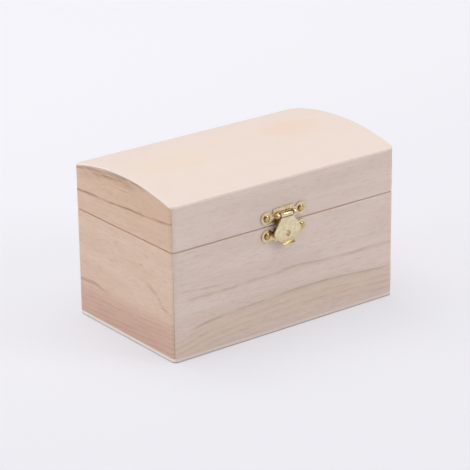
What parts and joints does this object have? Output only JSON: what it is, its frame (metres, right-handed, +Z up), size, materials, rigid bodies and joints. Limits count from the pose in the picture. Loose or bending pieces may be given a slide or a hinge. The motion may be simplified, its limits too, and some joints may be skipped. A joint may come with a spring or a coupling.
{
  "type": "domed treasure chest box",
  "caption": "Small unfinished wooden chest box with a shallow domed lid on two small hinges and a brass hasp and catch on its front.",
  "frame": {"origin": "middle of the case's footprint, on the surface that it stands on", "axes": "+X to the right along the front, +Y towards the hinged back, +Z up"},
  "size_m": [0.125, 0.0805, 0.0776],
  "materials": {
    "board_wood": "bare, fine sanded, pale pinkish tan",
    "top_sheet_wood": "bare, fine sanded, pale cream",
    "bottom_wood": "bare, pale",
    "sheet_brass": "bright pressed sheet",
    "brass_wire": "bright, drawn"
  },
  "bodies": {
    "base": {"bottom_board": "bottom_wood", "base_front_board": "board_wood", "base_back_board": "board_wood", "base_left_board": "board_wood", "base_right_board": "board_wood", "catch_plate": "sheet_brass", "catch_nails": "brass_wire", "left_hinge_base_leaf": "sheet_brass", "left_hinge_base_nails": "brass_wire", "left_hinge_pin": "brass_wire", "right_hinge_base_leaf": "sheet_brass", "right_hinge_base_nails": "brass_wire", "right_hinge_pin": "brass_wire"},
    "lid": {"lid_front_rail": "board_wood", "lid_back_rail": "board_wood", "lid_left_arch": "board_wood", "lid_right_arch": "board_wood", "lid_top_sheet": "top_sheet_wood", "hasp_plate": "sheet_brass", "hasp_plate_nails": "brass_wire", "hasp_pin": "brass_wire", "left_hinge_lid_leaf": "sheet_brass", "left_hinge_lid_nails": "brass_wire", "right_hinge_lid_leaf": "sheet_brass", "right_hinge_lid_nails": "brass_wire"},
    "hasp": {"hasp_flap": "sheet_brass"}
  },
  "joints": [
    {"name": "lid_hinge", "type": "hinge", "parent": "base", "child": "lid", "pos_m": [0, 0.0382, 0.0513], "axis": [-1, 0, 0], "range_deg": [0, 180]},
    {"name": "hasp_hinge", "type": "hinge", "parent": "lid", "child": "hasp", "pos_m": [-0.00229, -0.03905, 0.0563], "axis": [-0.9993, 0, -0.0384], "range_deg": [0, 175]}
  ]
}
